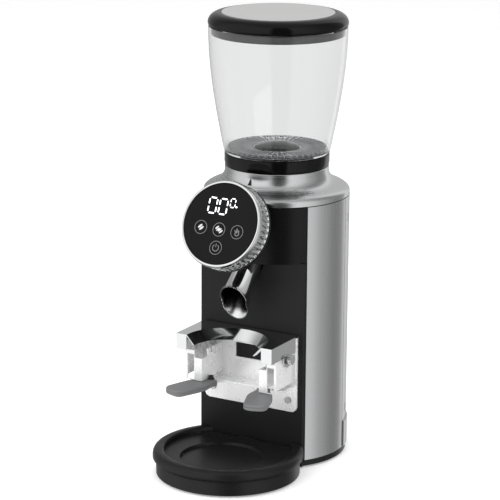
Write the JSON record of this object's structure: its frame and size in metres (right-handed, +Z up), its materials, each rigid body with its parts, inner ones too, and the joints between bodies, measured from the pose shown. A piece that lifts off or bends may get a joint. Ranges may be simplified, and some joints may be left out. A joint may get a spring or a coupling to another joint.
{
  "type": "burr coffee grinder",
  "caption": "Tower coffee grinder with a clear bean hopper, tilted display dial, outlet chute, portafilter rest and round tray.",
  "frame": {"origin": "middle of the footprint at the table, on the plane the feet stand on", "axes": "+Z up, front (dial, chute and tray) towards -Y, +X to the right seen from the front"},
  "size_m": [0.138, 0.2238, 0.4145],
  "materials": {
    "black_satin": "satin",
    "black_gloss": "gloss",
    "panel_black": "satin",
    "frame_grey": "matte",
    "rubber_black": "matte",
    "brushed_steel": "brushed",
    "polished_steel": "polished",
    "dial_metal": "polished",
    "screw_steel": "satin",
    "clear_hopper": "clear",
    "clear_guard": "clear",
    "lid_grey": "satin",
    "seal_grey": "matte",
    "black_glass": "gloss",
    "board_green": "satin",
    "chamber_grey": "cast",
    "carrier_metal": "machined",
    "seal_red": "matte",
    "burr_steel": "ground",
    "impeller_white": "satin",
    "gear_white": "satin",
    "motor_steel": "satin",
    "magnet_grey": "matte",
    "copper_brown": "wound",
    "plunger_red": "satin",
    "sleeve_grey": "matte"
  },
  "bodies": {
    "housing": {"base": "black_satin", "feet": "rubber_black", "inner_frame": "frame_grey", "right_side_skin": "brushed_steel", "left_side_skin": "brushed_steel", "rear_cover": "brushed_steel", "rear_screws": "screw_steel", "mains_grommet": "rubber_black", "front_panel": "panel_black", "head_cover": "black_gloss", "collar": "brushed_steel", "dial_housing": "black_satin", "display_glass": "black_glass", "display_board": "board_green", "chute": "polished_steel", "grinding_chamber": "chamber_grey", "upper_bearing": "screw_steel", "lower_bearing": "screw_steel", "gearbox_tray": "frame_grey", "gearbox_lid": "frame_grey", "idler_pin": "screw_steel", "motor_can": "motor_steel", "motor_magnets": "magnet_grey", "motor_cap": "frame_grey", "control_board": "board_green", "hopper_switch": "frame_grey", "rest_plate": "polished_steel", "rest_fork": "polished_steel", "right_upright": "polished_steel", "left_upright": "polished_steel", "rest_screws": "screw_steel", "left_sleeve": "sleeve_grey", "right_sleeve": "sleeve_grey"},
    "grind_ring": {"adjusting_ring": "black_gloss"},
    "carrier": {"burr_carrier": "carrier_metal", "carrier_seal": "seal_red", "ring_burr": "burr_steel"},
    "hopper_unit": {"hopper": "clear_hopper", "finger_guard": "clear_guard", "guard_dome": "black_gloss"},
    "lid": {"lid_ring": "black_gloss", "lid_disc": "lid_grey", "lid_seal": "seal_grey"},
    "dial": {"dial_ring": "dial_metal"},
    "burr_drive": {"burr_shaft": "screw_steel", "cone_burr": "burr_steel", "burr_nut": "screw_steel", "impeller": "impeller_white", "drive_gear": "gear_white"},
    "idler": {"idler_gear": "gear_white"},
    "rotor": {"motor_shaft": "screw_steel", "motor_armature": "copper_brown", "motor_fan": "frame_grey"},
    "plunger": {"switch_plunger": "plunger_red"},
    "funnel": {"funnel_plate": "polished_steel"},
    "left_clamp": {"left_screw": "dial_metal"},
    "right_clamp": {"right_screw": "dial_metal"},
    "tray_unit": {"tray": "black_satin"}
  },
  "joints": [
    {"name": "grind_turn", "type": "hinge", "parent": "housing", "child": "grind_ring", "pos_m": [0, 0.04328, 0.2738], "axis": [0, 0, 1], "range_deg": [-140, 140]},
    {"name": "carrier_lift", "type": "slide", "parent": "grind_ring", "child": "carrier", "axis": [0, 0, 1], "range_m": [-0.0006, 0.0006], "stiffness_N_per_m": 1500, "springref_m": 0.0021},
    {"name": "hopper_lift", "type": "slide", "parent": "grind_ring", "child": "hopper_unit", "axis": [0, 0, 1], "range_m": [0, 0.06]},
    {"name": "lid_lift", "type": "slide", "parent": "hopper_unit", "child": "lid", "axis": [0, 0, 1], "range_m": [0, 0.03]},
    {"name": "dial_turn", "type": "hinge", "parent": "housing", "child": "dial", "pos_m": [0, -0.05812, 0.2384], "axis": [0, -0.9135, 0.4067], "continuous": true},
    {"name": "rotor_turn", "type": "hinge", "parent": "housing", "child": "rotor", "pos_m": [0, 0.06928, 0.1], "axis": [0, 0, 1], "continuous": true},
    {"name": "idler_turn", "type": "hinge", "parent": "housing", "child": "idler", "pos_m": [0.02397, 0.07047, 0.15], "axis": [0, 0, 1], "continuous": true},
    {"name": "burr_turn", "type": "hinge", "parent": "housing", "child": "burr_drive", "pos_m": [0, 0.04328, 0.2], "axis": [0, 0, 1], "continuous": true},
    {"name": "plunger_press", "type": "slide", "parent": "housing", "child": "plunger", "axis": [0.7071, 0.7071, 0], "range_m": [0, 0.001], "stiffness_N_per_m": 300},
    {"name": "funnel_slide", "type": "slide", "parent": "housing", "child": "funnel", "axis": [0, 0, 1], "range_m": [-0.004, 0.006]},
    {"name": "left_screw_turn", "type": "hinge", "parent": "funnel", "child": "left_clamp", "pos_m": [-0.05, -0.02178, 0.111], "axis": [-1, 0, 0], "range_deg": [0, 360]},
    {"name": "right_screw_turn", "type": "hinge", "parent": "funnel", "child": "right_clamp", "pos_m": [0.05, -0.02178, 0.111], "axis": [1, 0, 0], "range_deg": [0, 360]},
    {"name": "tray_lift", "type": "slide", "parent": "housing", "child": "tray_unit", "axis": [0, 0, 1], "range_m": [0, 0.028]}
  ],
  "couplings": [
    {"joint": "carrier_lift", "follows": "grind_turn", "m_per_rad": 0.00023873},
    {"joint": "idler_turn", "follows": "rotor_turn", "ratio": -0.33333},
    {"joint": "burr_turn", "follows": "rotor_turn", "ratio": 0.10606}
  ]
}
